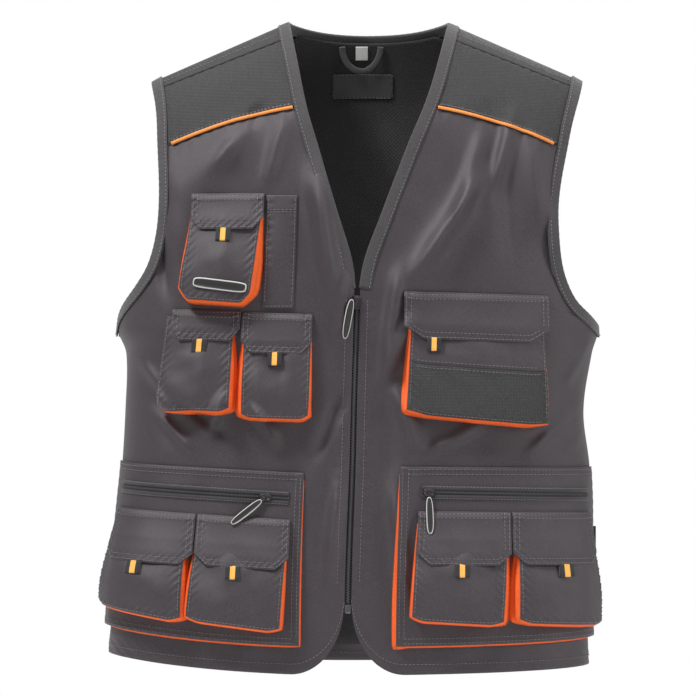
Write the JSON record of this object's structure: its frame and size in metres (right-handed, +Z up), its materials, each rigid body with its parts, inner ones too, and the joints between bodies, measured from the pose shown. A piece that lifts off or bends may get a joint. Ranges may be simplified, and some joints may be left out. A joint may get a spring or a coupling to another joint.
{
  "type": "utility work vest",
  "caption": "Sleeveless V-neck zipped work vest in dark twill with orange piping, flap pockets with orange bellows, zipped base pockets and a mesh-lined back.",
  "frame": {"origin": "midway between the two neck points, at the height where the shoulders carry the vest", "axes": "+Z up, -Y out of the front, +X to the wearer's left"},
  "size_m": [0.5489, 0.2085, 0.7102],
  "materials": {
    "twill": "matt dark twill",
    "oxford": "coarse dark weave with a slight glint",
    "mesh": "fine knitted mesh",
    "binding_tape": "matt woven binding tape",
    "orange_cloth": "matt orange cloth",
    "piping_cloth": "woven orange piping",
    "webbing": "woven webbing, with an orange stripe on the tabs",
    "label_cloth": "smooth woven label, blank",
    "white_tag": "smooth white label, blank",
    "rubber": "soft matt rubber",
    "zip_metal": "dark satin",
    "zip_tape": "woven zip tape with moulded teeth"
  },
  "bodies": {
    "root": {"front_panel_right": "twill", "front_yoke_right": "oxford", "front_panel_left": "twill", "front_yoke_left": "oxford", "back_yoke": "oxford", "back_panel": "twill", "armhole_binding_right": "binding_tape", "armhole_binding_left": "binding_tape", "neck_binding": "binding_tape", "mesh_lining": "mesh", "piping_right": "piping_cloth", "piping_left": "piping_cloth", "base_pocket_front_right": "twill", "base_pocket_gusset_right": "orange_cloth", "base_pocket_front_left": "twill", "base_pocket_gusset_left": "orange_cloth", "phone_pocket_front": "twill", "phone_pocket_flap": "twill", "phone_pocket_tab": "webbing", "phone_pocket_gusset": "orange_cloth", "middle_pocket_outer_front": "twill", "middle_pocket_outer_flap": "twill", "middle_pocket_outer_tab": "webbing", "middle_pocket_inner_front": "twill", "middle_pocket_inner_flap": "twill", "middle_pocket_inner_tab": "webbing", "middle_pocket_gusset": "orange_cloth", "chest_pocket_front_upper": "twill", "chest_pocket_front_lower": "oxford", "chest_pocket_flap": "twill", "chest_pocket_tab": "webbing", "chest_pocket_gusset": "orange_cloth", "lower_pocket_right_outer_front": "twill", "lower_pocket_right_outer_flap": "twill", "lower_pocket_right_outer_tab": "webbing", "lower_pocket_right_inner_front": "twill", "lower_pocket_right_inner_flap": "twill", "lower_pocket_right_inner_tab": "webbing", "lower_pocket_right_gusset": "orange_cloth", "lower_pocket_left_outer_front": "twill", "lower_pocket_left_outer_flap": "twill", "lower_pocket_left_outer_tab": "webbing", "lower_pocket_left_inner_front": "twill", "lower_pocket_left_inner_flap": "twill", "lower_pocket_left_inner_tab": "webbing", "lower_pocket_left_gusset": "orange_cloth", "pen_pocket": "twill", "main_zip": "zip_tape", "main_zip_slider": "zip_metal", "main_zip_puller": "rubber", "zip_pin_box": "zip_metal", "base_zip_right": "zip_tape", "base_zip_slider_right": "zip_metal", "base_zip_left": "zip_tape", "base_zip_slider_left": "zip_metal", "phone_pocket_badge": "rubber", "hanger_loop": "webbing", "size_tag": "white_tag", "neck_label": "label_cloth", "side_flag_tag": "label_cloth"}
  },
  "joints": []
}
